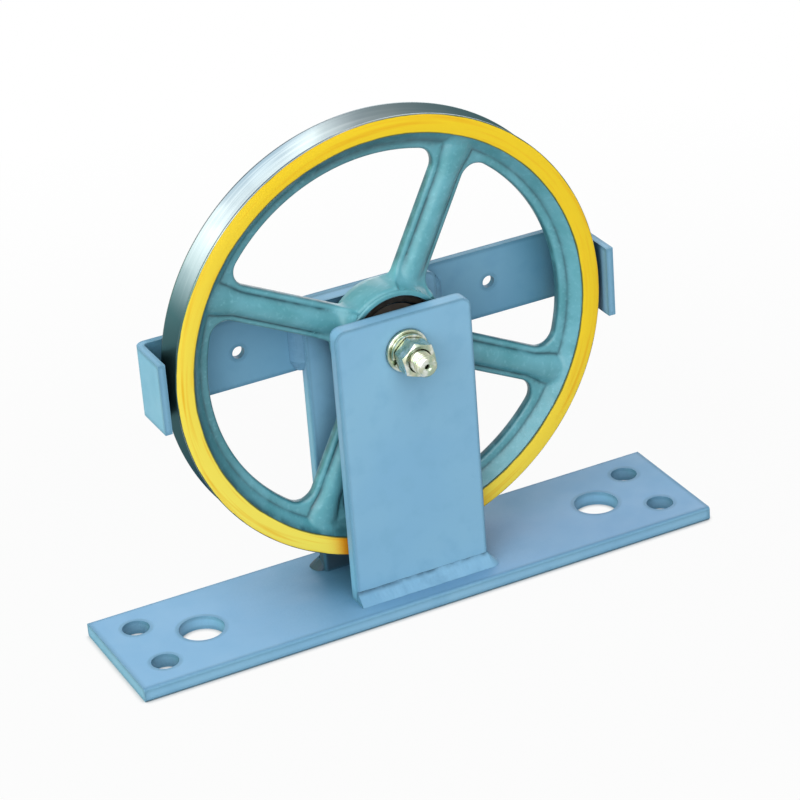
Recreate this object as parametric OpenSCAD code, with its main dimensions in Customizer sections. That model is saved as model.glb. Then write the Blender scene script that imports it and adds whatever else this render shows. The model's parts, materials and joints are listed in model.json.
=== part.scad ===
// Guide sheave of a governor rope on a welded bracket, sizes in millimetres.
// Origin: middle of the underside of the base plate. +Z is up, the axle runs along Y.
// The front of the part faces -Y.

/* [Base plate] */

// Length of the base plate along X
base_l = 345; // [280:1:500]
// Width of the flat bar that the base and both uprights are cut from
bar_w = 80; // [60:1:120]
// Thickness of that flat bar
bar_t = 8; // [6:0.5:12]
// Radius of the rolled edges of that flat bar
bar_edge_r = 1.5; // [0.5:0.5:2.5]
// Distance between the two pairs of small fixing holes along X
fix_spacing_x = 304; // [200:1:460]
// Distance between the two small holes of a pair along Y
fix_spacing_y = 40; // [20:1:60]
// Diameter of the small fixing holes
fix_d = 15; // [9:0.5:18]
// Distance between the two large holes along X
pin_spacing_x = 244; // [150:1:400]
// Diameter of the large holes
pin_d = 25; // [16:0.5:32]

/* [Uprights] */

// Height of the axle above the underside of the base
axle_h = 150; // [140:1:200]
// Height of the uprights above the axle
upright_above = 20; // [14:1:40]
// Clear distance between the two uprights
upright_gap = 32; // [31:0.5:40]
// Radius of the top corners of the uprights
corner_r = 6; // [2:0.5:15]
// Leg of the fillet weld at the foot of an upright
foot_weld_leg = 7; // [3:0.5:9]

/* [Rope guard] */

// Height of the guard strip
guard_h = 40; // [25:1:60]
// Thickness of the guard strip
guard_t = 4; // [3:0.5:6]
// Gap between the rim of the sheave and the bent tabs of the guard
guard_gap = 2.5; // [1:0.5:6]
// Distance that the left tab reaches past the middle of the sheave towards the front
guard_reach_left = 5; // [0:0.5:15]
// Distance that the right tab reaches past the middle of the sheave towards the front
guard_reach_right = 15; // [0:0.5:15]
// Inside radius of the two bends
guard_bend_r = 2; // [1:0.5:6]
// Distance between the two holes in the strip
guard_hole_spacing = 150; // [110:1:190]
// Diameter of those holes
guard_hole_d = 7; // [4:0.5:10]
// Radius of the weld beads that hold the strip to the rear upright
guard_weld_r = 7; // [3:0.5:8]

/* [Sheave] */

// Outside diameter of the sheave
sheave_d = 250; // [200:1:270]
// Width of the rim
rim_w = 20; // [19:0.5:30]
// Diameter of the governor rope that the groove is cut for
rope_d = 8; // [6:0.5:8.5]
// Depth of the rope centre below the outside of the rim
rope_depth = 5; // [4:0.5:5.5]
// Angle of the groove walls to the plane of the sheave
groove_wall = 35; // [20:1:36]
// Radial width of the flange face
flange_w = 10.5; // [6:0.5:14]
// Radial depth of the whole rim, from its outside to the ridge on its inside
rim_depth = 21.5; // [18:0.5:30]
// Radial height of the flat ridge that joins the spokes on the inside of the rim
ridge_h = 5; // [2:0.5:6]
// Number of spokes
spoke_count = 4; // [3:1:6]
// Angle of the first spoke above +X
spoke_angle = 63.5; // [0:0.5:90]
// Width of a spoke
spoke_w = 20; // [14:0.5:30]
// Thickness of the flat web of a spoke
web_t = 5; // [4:0.5:10]
// Width of the raised rib along the middle of a spoke
rib_w = 10; // [6:0.5:14]
// Thickness through both ribs of a spoke
rib_t = 14; // [8:0.5:18]
// Rounding of the edges of the rib
rib_r = 3; // [1:0.5:4]
// Radius of the fillet between spoke and rim
rim_fillet_r = 9; // [3:0.5:12]
// Radius of the fillet between spoke and hub
hub_fillet_r = 8; // [3:0.5:12]
// Diameter of the hub at its faces
hub_d = 59; // [58:1:90]
// Length of the hub
hub_l = 25.5; // [25.5:0.5:27]
// Distance that the hub and its bearing sit in front of the middle of the rim
hub_shift = 1.75; // [0:0.25:2.5]
// Extra radius of the hub at its middle, from the draft of the casting
hub_draft = 1.5; // [0:0.5:3]

/* [Bearing] */

// Bore of the double row ball bearing
bearing_bore = 25; // [25:1:30]
// Outside diameter of the bearing
bearing_d = 52; // [52:0.5:53]
// Width of the bearing
bearing_w = 18; // [18:0.5:19.5]
// Diameter of the bearing balls
ball_d = 6.35; // [5.5:0.05:6.35]
// Number of balls in each row
ball_count = 14; // [8:1:14]
// Distance between the two rows of balls
row_spacing = 8; // [8:0.1:8.4]
// Thickness of the retaining rings in the hub
ring_t = 2; // [1.5:0.1:2.5]

/* [Axle and fasteners] */

// Diameter of the threaded axle ends
thread_d = 12; // [10:1:16]
// Length of the whole axle
axle_l = 99; // [90:1:120]
// Diameter of the flat washers
washer_d = 24; // [20:1:34]
// Thickness of the flat washers
washer_t = 2.5; // [1.5:0.1:4]
// Diameter of the spring washers
lock_d = 21; // [17:0.5:28]
// Height of the tightened spring washers
lock_t = 3; // [2:0.1:4]
// Width across the flats of the nuts
nut_af = 18; // [16:1:27]
// Height of the nuts
nut_h = 10.8; // [8:0.1:16]

/* [Hidden] */

$fn = 96;
overlap = 0.5;
front = 1;
rear = -1;
fit_gap = 0.02;
running_gap = 0.05;
sliding_gap = 0.1;
edge_chamfer = 1;

upright_top = axle_h + upright_above;
upright_h = upright_top - bar_t;
inner_y = upright_gap / 2;
outer_y = inner_y + bar_t;
axle_hole_d = thread_d + 1;
guard_back_y = outer_y + guard_t;

guard_inner_x = sheave_d / 2 + guard_gap;
guard_bend_x = guard_inner_x - guard_bend_r;
guard_bend_y = outer_y - guard_bend_r;
guard_z = axle_h - guard_h / 2;
guard_weld_inset = 1;
guard_weld_low = guard_z + guard_weld_inset;
guard_weld_high = min(guard_z + guard_h, upright_top - corner_r) - guard_weld_inset;
guard_weld_l = guard_weld_high - guard_weld_low;

sheave_r = sheave_d / 2;
groove_r = rope_d / 2 + 2 * sliding_gap;
rope_r = sheave_r - rope_depth;
wall_r = rope_r - groove_r * sin(groove_wall);
wall_z = groove_r * cos(groove_wall);
groove_half_w = wall_z + (sheave_r - wall_r) * tan(groove_wall);
flange_inner_r = sheave_r - flange_w;
ridge_r = sheave_r - rim_depth;
ridge_foot_r = ridge_r + ridge_h;
ridge_draft = 0.8;
hub_r = hub_d / 2;
hub_mid_r = hub_r + hub_draft;
spoke_step = 360 / spoke_count;
spoke_bite = 2.5;
fillet_bite = 0.1;
spoke_root_r = hub_r - spoke_bite;
spoke_tip_r = ridge_r + spoke_bite;
rib_tip_r = flange_inner_r - edge_chamfer;
hub_bore_r = bearing_d / 2 + fit_gap;
hub_bore_chamfer = 0.8;
hub_mouth_r = hub_bore_r + hub_bore_chamfer;

seat_r = bearing_bore / 2;
pitch_r = (bearing_bore + bearing_d) / 4;
land_rise = 0.3 * ball_d;
outer_land_r = pitch_r + land_rise;
inner_land_r = pitch_r - land_rise;
raceway_r = ball_d / 2 + running_gap;
cage_t = 1.9;
cage_open_l = 2.4;
cage_back_l = ball_d / 2 + 0.65;
seal_t = 0.8;
ring_depth = 1.4;
ring_r = bearing_d / 2 + ring_depth;
ring_groove_r = ring_r + sliding_gap;
ring_groove_w = ring_t + sliding_gap;
ring_w = 4.6;
ring_gap_angle = 26;
ring_lug_r = 3;
ring_lug_inset = 1.6;
ring_lug_turn = ring_gap_angle / 2 + 2;
ring_hole_d = 2.5;
spacer_r = seat_r + 3.5;

centre_hole_d = 2.5;
centre_hole_l = 5;
centre_mouth_d = 4.5;
thread_chamfer = 1.2;
lock_slot_w = 1.6;
lock_slot_angle = 20;
nut_corner_d = nut_af / cos(30);
nut_face_d = nut_af * 0.95;
nut_chamfer_h = (nut_corner_d - nut_face_d) / 2 * tan(30);

steel_blue = "#7FB2D4";
casting_teal = "#559BAA";
bright_steel = "#B9BEC2";
zinc_yellow = "#B9C08A";
seal_black = "#26282A";
cage_brass = "#C2A15A";

// Puts a child on the axle, its +Z pointing out of the front or the rear.
module on_axle(side = front) {
    translate([0, 0, axle_h])
        rotate([side * 90, 0, 0])
            children();
}

// Does the same for a child that belongs to the bearing.
module on_bearing(side = front) {
    translate([0, -hub_shift, 0])
        on_axle(side)
            children();
}

// Ring with square edges that starts at z = 0.
module plain_ring(outer_r, inner_r, height) {
    difference() {
        cylinder(r = outer_r, h = height);
        translate([0, 0, -overlap])
            cylinder(r = inner_r, h = height + 2 * overlap);
    }
}

// Section of the flat bar with its four rolled edges, centred on the origin.
module bar_section() {
    flat_w = bar_w - 2 * bar_edge_r;
    flat_t = bar_t - 2 * bar_edge_r;
    square([bar_w, flat_t], center = true);
    square([flat_w, bar_t], center = true);
    for (x = [-1, 1])
        for (y = [-1, 1])
            translate([x * flat_w / 2, y * flat_t / 2])
                circle(r = bar_edge_r);
}

module base_plate() {
    color(steel_blue)
        difference() {
            translate([-base_l / 2, 0, bar_t / 2])
                rotate([90, 0, 90])
                    linear_extrude(base_l)
                        bar_section();
            for (x = [-1, 1]) {
                translate([x * pin_spacing_x / 2, 0, -overlap])
                    cylinder(d = pin_d, h = bar_t + 2 * overlap);
                for (y = [-1, 1])
                    translate([x * fix_spacing_x / 2, y * fix_spacing_y / 2, -overlap])
                        cylinder(d = fix_d, h = bar_t + 2 * overlap);
            }
        }
}

// One upright, standing with its inner face at y = 0 and its outer face at y = bar_t.
module upright_bar() {
    cut_l = bar_t + 2 * overlap;
    difference() {
        translate([0, bar_t / 2, bar_t])
            linear_extrude(upright_h)
                bar_section();
        for (x = [0, 1])
            mirror([x, 0, 0])
                translate([bar_w / 2 - corner_r, bar_t + overlap, upright_top - corner_r])
                    rotate([90, 0, 0])
                        difference() {
                            cube([corner_r + overlap, corner_r + overlap, cut_l]);
                            translate([0, 0, -overlap])
                                cylinder(r = corner_r, h = cut_l + 2 * overlap);
                        }
        translate([0, bar_t + overlap, axle_h])
            rotate([90, 0, 0])
                cylinder(d = axle_hole_d, h = cut_l);
    }
}

module front_upright() {
    color(steel_blue)
        mirror([0, 1, 0])
            translate([0, inner_y, 0])
                upright_bar();
}

module rear_upright() {
    color(steel_blue)
        translate([0, inner_y, 0])
            upright_bar();
}

// Fillet weld along the outer foot of an upright, started flush with one edge and
// turned around the other one.
module foot_weld_bead() {
    leg_shape = [[0, 0], [foot_weld_leg, 0], [0, foot_weld_leg]];
    translate([-bar_w / 2, outer_y, bar_t])
        rotate([90, 0, 90])
            linear_extrude(bar_w)
                polygon(leg_shape);
    translate([bar_w / 2, outer_y, bar_t])
        rotate_extrude(angle = 90)
            polygon(leg_shape);
}

module front_foot_weld() {
    color(steel_blue)
        mirror([0, 1, 0])
            foot_weld_bead();
}

module rear_foot_weld() {
    color(steel_blue)
        mirror([1, 0, 0])
            foot_weld_bead();
}

// Flat strip behind the rear upright with both ends bent forward around the rim.
// The axle passes through the hole in its middle.
module rope_guard() {
    bend_outer_r = guard_bend_r + guard_t;
    reach = [guard_reach_right, guard_reach_left];
    color(steel_blue)
        translate([0, 0, guard_z])
            difference() {
                union() {
                    translate([-guard_bend_x, outer_y, 0])
                        cube([2 * guard_bend_x, guard_t, guard_h]);
                    for (x = [0, 1])
                        mirror([x, 0, 0]) {
                            translate([guard_inner_x, -reach[x], 0])
                                cube([guard_t, guard_bend_y + reach[x], guard_h]);
                            translate([guard_bend_x, guard_bend_y, 0])
                                rotate_extrude(angle = 90)
                                    translate([guard_bend_r, 0])
                                        square([guard_t, guard_h]);
                        }
                }
                for (x = [-1, 0, 1])
                    translate([x * guard_hole_spacing / 2, guard_back_y + overlap, guard_h / 2])
                        rotate([90, 0, 0])
                            cylinder(d = x == 0 ? axle_hole_d : guard_hole_d, h = guard_t + 2 * overlap);
            }
}

// Quarter round beads in the corners between the strip and the straight edges of the rear upright.
module rope_guard_welds() {
    color(steel_blue)
        for (x = [0, 1])
            mirror([x, 0, 0])
                translate([bar_w / 2, outer_y, guard_weld_low])
                    intersection() {
                        cylinder(r = guard_weld_r, h = guard_weld_l);
                        translate([0, -guard_weld_r - overlap, -overlap])
                            cube([guard_weld_r + overlap, guard_weld_r + overlap, guard_weld_l + 2 * overlap]);
                    }
}

// Section of the rim: flanges, groove walls and the sloping inside with its flat ridge.
module rim_section() {
    half_w = rim_w / 2;
    ridge_foot_z = web_t / 2 + ridge_draft;
    difference() {
        polygon([
            [ridge_r, -web_t / 2],
            [ridge_foot_r, -ridge_foot_z],
            [flange_inner_r, -half_w],
            [sheave_r - edge_chamfer, -half_w],
            [sheave_r, -half_w + edge_chamfer],
            [sheave_r, half_w - edge_chamfer],
            [sheave_r - edge_chamfer, half_w],
            [flange_inner_r, half_w],
            [ridge_foot_r, ridge_foot_z],
            [ridge_r, web_t / 2]
        ]);
        polygon([
            [wall_r, -wall_z],
            [sheave_r + overlap, -groove_half_w - overlap * tan(groove_wall)],
            [sheave_r + overlap, groove_half_w + overlap * tan(groove_wall)],
            [wall_r, wall_z]
        ]);
        translate([rope_r, 0])
            circle(r = groove_r);
    }
}

// Section of the hub, drafted from the web towards both faces and with its edges broken.
module hub_section() {
    front_z = hub_shift + hub_l / 2;
    rear_z = hub_shift - hub_l / 2;
    inner_r = hub_bore_r - overlap;
    polygon([
        [inner_r, rear_z],
        [hub_r - edge_chamfer, rear_z],
        [hub_r, rear_z + edge_chamfer],
        [hub_mid_r, -web_t / 2],
        [hub_mid_r, web_t / 2],
        [hub_r, front_z - edge_chamfer],
        [hub_r - edge_chamfer, front_z],
        [inner_r, front_z]
    ]);
}

// Fillet of a web edge: fills from the edge to a circle of radius r around the point at,
// and reaches back into the rim or hub as far as the radius root_r.
module web_fillet(at, r, root_r) {
    edge_y = spoke_w / 2 - overlap;
    difference() {
        translate([0, 0, -web_t / 2])
            linear_extrude(web_t)
                polygon([[at.x, edge_y], [root_r, edge_y], at * root_r / norm(at), at]);
        translate([at.x, at.y, -web_t])
            cylinder(r = r, h = 2 * web_t);
    }
}

// Spoke along +X: flat web, raised rib on both faces, fillets at both ends that bite a
// little into rim and hub.
module spoke() {
    rib_l = rib_tip_r - spoke_root_r;
    rim_centre_y = spoke_w / 2 + rim_fillet_r;
    hub_centre_y = spoke_w / 2 + hub_fillet_r;
    rim_centre_r = ridge_r - rim_fillet_r + fillet_bite;
    hub_centre_r = hub_mid_r + hub_fillet_r - fillet_bite;
    rim_centre = [sqrt(pow(rim_centre_r, 2) - pow(rim_centre_y, 2)), rim_centre_y];
    hub_centre = [sqrt(pow(hub_centre_r, 2) - pow(hub_centre_y, 2)), hub_centre_y];
    translate([spoke_root_r, -spoke_w / 2, -web_t / 2])
        cube([spoke_tip_r - spoke_root_r, spoke_w, web_t]);
    translate([spoke_root_r, -rib_w / 2, -rib_t / 2 + rib_r])
        cube([rib_l, rib_w, rib_t - 2 * rib_r]);
    translate([spoke_root_r, -rib_w / 2 + rib_r, -rib_t / 2])
        cube([rib_l, rib_w - 2 * rib_r, rib_t]);
    for (y = [-1, 1])
        for (z = [-1, 1])
            translate([spoke_root_r, y * (rib_w / 2 - rib_r), z * (rib_t / 2 - rib_r)])
                rotate([0, 90, 0])
                    cylinder(r = rib_r, h = rib_l);
    for (y = [0, 1])
        mirror([0, y, 0]) {
            web_fillet(rim_centre, rim_fillet_r, spoke_tip_r);
            web_fillet(hub_centre, hub_fillet_r, spoke_root_r);
        }
}

module sheave() {
    color(casting_teal)
        on_axle()
            difference() {
                union() {
                    rotate_extrude()
                        rim_section();
                    rotate_extrude()
                        hub_section();
                    for (i = [0 : spoke_count - 1])
                        rotate([0, 0, spoke_angle + i * spoke_step])
                            spoke();
                }
                translate([0, 0, -hub_l])
                    cylinder(r = hub_bore_r, h = 2 * hub_l);
                translate([0, 0, hub_shift])
                    for (side = [0, 1])
                        mirror([0, 0, side]) {
                            translate([0, 0, bearing_w / 2])
                                cylinder(r = ring_groove_r, h = ring_groove_w);
                            translate([0, 0, hub_l / 2 - hub_bore_chamfer])
                                cylinder(r1 = hub_bore_r, r2 = hub_mouth_r, h = hub_bore_chamfer);
                        }
            }
}

// Turned axle: bearing seat between the uprights, threaded ends, centre holes.
module axle() {
    end_l = axle_l / 2 - inner_y;
    color(bright_steel)
        on_axle()
            difference() {
                union() {
                    translate([0, 0, -inner_y])
                        cylinder(r = seat_r - fit_gap, h = upright_gap);
                    for (side = [0, 1])
                        mirror([0, 0, side])
                            translate([0, 0, inner_y]) {
                                cylinder(d = thread_d, h = end_l - thread_chamfer);
                                translate([0, 0, end_l - thread_chamfer])
                                    cylinder(d1 = thread_d, d2 = thread_d - 2 * thread_chamfer, h = thread_chamfer);
                            }
                }
                for (side = [0, 1])
                    mirror([0, 0, side])
                        translate([0, 0, axle_l / 2]) {
                            translate([0, 0, -centre_hole_l])
                                cylinder(d = centre_hole_d, h = centre_hole_l + overlap);
                            translate([0, 0, -(centre_mouth_d - centre_hole_d)])
                                cylinder(d1 = 0, d2 = centre_mouth_d, h = centre_mouth_d - centre_hole_d);
                        }
            }
}

// Distance sleeve between the inner ring of the bearing and an upright.
module spacer(side) {
    bearing_z = bearing_w / 2 + side * hub_shift;
    color(bright_steel)
        on_axle(side)
            translate([0, 0, bearing_z])
                plain_ring(spacer_r, seat_r, inner_y - bearing_z);
}

module front_spacer() {
    spacer(front);
}

module rear_spacer() {
    spacer(rear);
}

// Height where the washers and the nut start: on the front upright, or on the guard strip.
function stack_start(side) = side == front ? outer_y : guard_back_y;

module flat_washer(side) {
    color(zinc_yellow)
        on_axle(side)
            translate([0, 0, stack_start(side)])
                plain_ring(washer_d / 2, axle_hole_d / 2, washer_t);
}

module front_washer() {
    flat_washer(front);
}

module rear_washer() {
    flat_washer(rear);
}

// Split spring washer, closed by the nut so that only its slanting slot stays open.
module spring_washer(side) {
    color(zinc_yellow)
        on_axle(side)
            translate([0, 0, stack_start(side) + washer_t])
                difference() {
                    plain_ring(lock_d / 2, thread_d / 2 + sliding_gap, lock_t);
                    translate([lock_d / 4 + thread_d / 4, 0, lock_t / 2])
                        rotate([lock_slot_angle, 0, 0])
                            cube([lock_d / 2, lock_slot_w, 3 * lock_t], center = true);
                }
}

module front_spring_washer() {
    spring_washer(front);
}

module rear_spring_washer() {
    spring_washer(rear);
}

// Hexagon nut with both faces chamfered to a circle.
module hex_nut(side) {
    color(zinc_yellow)
        on_axle(side)
            translate([0, 0, stack_start(side) + washer_t + lock_t])
                difference() {
                    intersection() {
                        cylinder(d = nut_corner_d, h = nut_h, $fn = 6);
                        union() {
                            cylinder(d1 = nut_face_d, d2 = nut_corner_d, h = nut_chamfer_h);
                            translate([0, 0, nut_chamfer_h])
                                cylinder(d = nut_corner_d, h = nut_h - 2 * nut_chamfer_h);
                            translate([0, 0, nut_h - nut_chamfer_h])
                                cylinder(d1 = nut_corner_d, d2 = nut_face_d, h = nut_chamfer_h);
                        }
                    }
                    translate([0, 0, -overlap])
                        cylinder(d = thread_d + 2 * running_gap, h = nut_h + 2 * overlap);
                }
}

module front_nut() {
    hex_nut(front);
}

module rear_nut() {
    hex_nut(rear);
}

// Both raceways, as round channels around the axle.
module raceways() {
    for (side = [-1, 1])
        rotate_extrude()
            translate([pitch_r, side * row_spacing / 2])
                circle(r = raceway_r);
}

module bearing_outer_ring() {
    color(bright_steel)
        on_bearing()
            difference() {
                translate([0, 0, -bearing_w / 2])
                    plain_ring(bearing_d / 2, outer_land_r, bearing_w);
                raceways();
            }
}

module bearing_inner_ring() {
    color(bright_steel)
        on_bearing()
            difference() {
                translate([0, 0, -bearing_w / 2])
                    plain_ring(inner_land_r, seat_r, bearing_w);
                raceways();
            }
}

// Puts a child at every ball of one row.
module at_balls(side) {
    on_bearing(side)
        for (i = [0 : ball_count - 1])
            rotate([0, 0, i * 360 / ball_count])
                translate([pitch_r, 0, row_spacing / 2])
                    children();
}

module front_balls() {
    color(bright_steel)
        at_balls(front)
            sphere(d = ball_d);
}

module rear_balls() {
    color(bright_steel)
        at_balls(rear)
            sphere(d = ball_d);
}

// Snap cage of one row: a crown on the pitch circle with an open pocket for each ball.
module ball_cage(side) {
    color(cage_brass)
        difference() {
            on_bearing(side)
                translate([0, 0, row_spacing / 2 - cage_open_l])
                    plain_ring(pitch_r + cage_t / 2, pitch_r - cage_t / 2, cage_open_l + cage_back_l);
            at_balls(side)
                sphere(r = raceway_r);
        }
}

module front_cage() {
    ball_cage(front);
}

module rear_cage() {
    ball_cage(rear);
}

// Rubber faced seal disc, held in the outer ring and just clear of the inner ring.
module seal(side) {
    color(seal_black)
        on_bearing(side)
            translate([0, 0, bearing_w / 2 - seal_t])
                plain_ring(outer_land_r - fit_gap, inner_land_r + 2 * running_gap, seal_t);
}

module front_seal() {
    seal(front);
}

module rear_seal() {
    seal(rear);
}

// Internal retaining ring with its gap and two drilled lugs.
module retaining_ring(side) {
    lug_centre_r = ring_r - ring_lug_r - ring_lug_inset;
    color(seal_black)
        on_bearing(side)
            translate([0, 0, bearing_w / 2])
                difference() {
                    union() {
                        rotate([0, 0, ring_gap_angle / 2])
                            rotate_extrude(angle = 360 - ring_gap_angle)
                                translate([ring_r - ring_w, 0])
                                    square([ring_w, ring_t]);
                        for (turn = [-1, 1])
                            rotate([0, 0, turn * ring_lug_turn])
                                translate([lug_centre_r, 0, 0])
                                    cylinder(r = ring_lug_r, h = ring_t);
                    }
                    for (turn = [-1, 1])
                        rotate([0, 0, turn * ring_lug_turn])
                            translate([lug_centre_r, 0, -overlap])
                                cylinder(d = ring_hole_d, h = ring_t + 2 * overlap);
                }
}

module front_retaining_ring() {
    retaining_ring(front);
}

module rear_retaining_ring() {
    retaining_ring(rear);
}

base_plate();
front_upright();
rear_upright();
front_foot_weld();
rear_foot_weld();
rope_guard();
rope_guard_welds();
sheave();
axle();
front_spacer();
rear_spacer();
front_washer();
rear_washer();
front_spring_washer();
rear_spring_washer();
front_nut();
rear_nut();
bearing_outer_ring();
bearing_inner_ring();
front_balls();
rear_balls();
front_cage();
rear_cage();
front_seal();
rear_seal();
front_retaining_ring();
rear_retaining_ring();
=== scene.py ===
# Looks of a governor rope guide sheave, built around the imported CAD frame.
# The axle runs along Y and the front faces -Y. Shapes are worked out in millimetres.
import json
import math

import bmesh
import bpy
import numpy as np
from mathutils import Matrix, Vector, noise
from mathutils.geometry import delaunay_2d_cdt


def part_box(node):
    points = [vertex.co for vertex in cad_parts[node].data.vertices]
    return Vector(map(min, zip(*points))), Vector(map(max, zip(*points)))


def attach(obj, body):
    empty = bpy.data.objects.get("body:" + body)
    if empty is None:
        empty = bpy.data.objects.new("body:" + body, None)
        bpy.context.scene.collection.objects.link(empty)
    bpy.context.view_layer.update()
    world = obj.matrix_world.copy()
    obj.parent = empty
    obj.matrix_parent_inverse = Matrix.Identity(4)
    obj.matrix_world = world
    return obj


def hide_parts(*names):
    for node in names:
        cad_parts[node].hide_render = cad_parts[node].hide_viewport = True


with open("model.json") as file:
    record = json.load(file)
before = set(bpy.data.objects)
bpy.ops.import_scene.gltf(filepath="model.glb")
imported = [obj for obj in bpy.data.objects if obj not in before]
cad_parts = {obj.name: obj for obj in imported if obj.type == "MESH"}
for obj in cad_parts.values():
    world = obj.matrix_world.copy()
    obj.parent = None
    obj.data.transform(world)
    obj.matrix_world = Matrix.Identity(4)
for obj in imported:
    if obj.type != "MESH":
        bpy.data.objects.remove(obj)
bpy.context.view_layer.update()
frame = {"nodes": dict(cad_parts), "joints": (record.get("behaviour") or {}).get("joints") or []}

MM = 0.001
nodes = frame["nodes"]
scene = bpy.context.scene


def box_mm(node):
    """Lowest and highest corner of a node."""
    low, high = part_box(node)
    return low / MM, high / MM


# Sizes taken from the frame
axle_z = frame["joints"][0]["pos_m"][2] / MM
sheave_low, sheave_high = box_mm("sheave")
upright_low, upright_high = box_mm("front_upright")
foot_low, foot_high = box_mm("front_foot_weld")
bead_low, bead_high = box_mm("rope_guard_welds")
bearing_low, bearing_high = box_mm("bearing_outer_ring")
front_ring_low = box_mm("front_retaining_ring")[0]
rear_ring_high = box_mm("rear_retaining_ring")[1]
axle_end_y = box_mm("axle")[1].y
sheave_r = sheave_high.x
hub_front_y = sheave_low.y
hub_rear_y = sheave_high.y
bar_half_w = upright_high.x
base_top = upright_low.z
upright_y = -upright_low.y
bar_thick = upright_high.y - upright_low.y
foot_leg = foot_high.z - foot_low.z
bead_leg = bead_high.x - bar_half_w

# Sizes of the sheave
rim_half = 10
flange_inner_r = sheave_r - 10.5
flange_step = 0.6
edge_r = 0.5
groove_r = 4.2
groove_wall = math.radians(35)
rope_r = sheave_r - 5
ridge_r = sheave_r - 21.5
ridge_foot_r = ridge_r + 5
ridge_draft = 0.8
casting_outer_r = flange_inner_r + 0.4
spoke_count = 4
spoke_step = 2 * math.pi / spoke_count
spoke_angle = math.radians(63.5)
spoke_half = 10
web_half = 2.5
rib_half = 7
rib_foot_half = 6.6
rib_flare = 2.4
rib_flare_start = ridge_r - 12
rim_fillet_r = 9
hub_fillet_r = 8
front_root_reach = 14
front_root_rise = 11
rear_root_reach = 5
rear_root_rise = 4
hub_face_r = 29.5
hub_mid_r = 31
hub_rear_r = 28.6
hub_inner_r = hub_mid_r - 3
hub_bore_r = bearing_high.x + 0.02
hub_bore_chamfer = 0.8
ring_groove_r = 27.5
ring_play = 0.1
window_edge_r = 2.3
casting_grid = 1.4
crease_half = 0.8

# Sizes of the axle and its fasteners
thread_r = 6
thread_pitch = 1.75
thread_depth = 1.05
front_thread_l = 14
rear_thread_l = 9
centre_r = 1.25
centre_depth = 5
seat_r = 12.48
seat_half = 16
nut_half_af = 9
washer_hole_r = 6.5
spring_lift = 0.12


# Colour and node helpers for the materials
def linear(hex_colour):
    """sRGB hex to the linear colour that a shader socket takes."""
    parts = [int(hex_colour[i:i + 2], 16) / 255 for i in (1, 3, 5)]
    return [c / 12.92 if c <= 0.04045 else ((c + 0.055) / 1.055) ** 2.4 for c in parts] + [1]


def per_mm(size):
    """Texture scale that makes one cell of a pattern about size millimetres wide."""
    return 1 / (size * MM)


def add_node(tree, kind, settings=None, links=None):
    """Adds a shader node. Settings name properties or inputs, links feed inputs."""
    made = tree.nodes.new("ShaderNode" + kind)
    for key, value in (settings or {}).items():
        if isinstance(key, int) or key in made.inputs:
            made.inputs[key].default_value = value
        else:
            setattr(made, key, value)
    for key, source in (links or {}).items():
        tree.links.new(source, made.inputs[key])
    return made


def new_material(name, shader_settings):
    """Empty material with one shader. Returns it with its node tree and the shader."""
    material = bpy.data.materials.new(name)
    material.use_nodes = True
    tree = material.node_tree
    tree.nodes.clear()
    shader = add_node(tree, "BsdfPrincipled", shader_settings)
    add_node(tree, "OutputMaterial", links={"Surface": shader.outputs[0]})
    return material, tree, shader


def mixed(tree, factor, first, second):
    """Colour socket that goes from first to second. Each is a hex colour or a socket."""
    mix = add_node(tree, "Mix", {"data_type": "RGBA"}, {0: factor})
    for index, colour in ((6, first), (7, second)):
        if isinstance(colour, str):
            mix.inputs[index].default_value = linear(colour)
        else:
            tree.links.new(colour, mix.inputs[index])
    return mix.outputs[2]


def ranged(tree, value, low, high, out_low=0, out_high=1):
    """Socket that maps low..high of a value to out_low..out_high, held at both ends."""
    settings = {"From Min": low, "From Max": high, "To Min": out_low, "To Max": out_high}
    return add_node(tree, "MapRange", settings, {"Value": value}).outputs[0]


def mottle(tree, point, size, detail=2, distortion=0):
    """Socket with soft noise whose patches are about size millimetres wide."""
    settings = {"Scale": per_mm(size), "Detail": detail, "Distortion": distortion}
    return add_node(tree, "TexNoise", settings, {"Vector": point}).outputs[0]


def raised(tree, shader, height, depth):
    """Feeds the shader a bump of depth millimetres."""
    bump = add_node(tree, "Bump", {"Distance": depth * MM}, {"Height": height})
    tree.links.new(bump.outputs[0], shader.inputs["Normal"])


def crevice(tree, reach, open_share, closed_share, own=False):
    """Socket that is 0 in the open and goes to 1 in corners narrower than reach millimetres.
    With own, only the piece itself makes corners."""
    settings = {"Distance": reach * MM, "samples": 8, "only_local": own}
    share = add_node(tree, "AmbientOcclusion", settings).outputs["AO"]
    return ranged(tree, share, open_share, closed_share)


def radius_socket(tree, point):
    """Distance from the axle in metres."""
    moved = add_node(tree, "VectorMath", {"operation": "SUBTRACT", 1: (0, 0, axle_z * MM)}, {0: point})
    flat = add_node(tree, "VectorMath", {"operation": "MULTIPLY", 1: (1, 0, 1)}, {0: moved.outputs[0]})
    return add_node(tree, "VectorMath", {"operation": "LENGTH"}, {0: flat.outputs[0]}).outputs["Value"]


def shade_behind_sheave(tree, point):
    """Share of the painted shade that the sheave casts on what stands behind it: only behind the sheave
    and within its outline, heaviest towards its rim.
    """
    parts = add_node(tree, "SeparateXYZ", links={0: point})
    behind = ranged(tree, parts.outputs["Y"], (upright_y - 0.5) * MM, upright_y * MM)
    radius = radius_socket(tree, point)
    inside = ranged(tree, radius, (sheave_r + 3) * MM, sheave_r * MM)
    weight = ranged(tree, radius, 0.66 * sheave_r * MM, 0.85 * sheave_r * MM, 0.32, 0.62)
    share = add_node(tree, "Math", {"operation": "MULTIPLY"}, {0: behind, 1: inside}).outputs[0]
    return add_node(tree, "Math", {"operation": "MULTIPLY"}, {0: share, 1: weight}).outputs[0]


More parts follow.
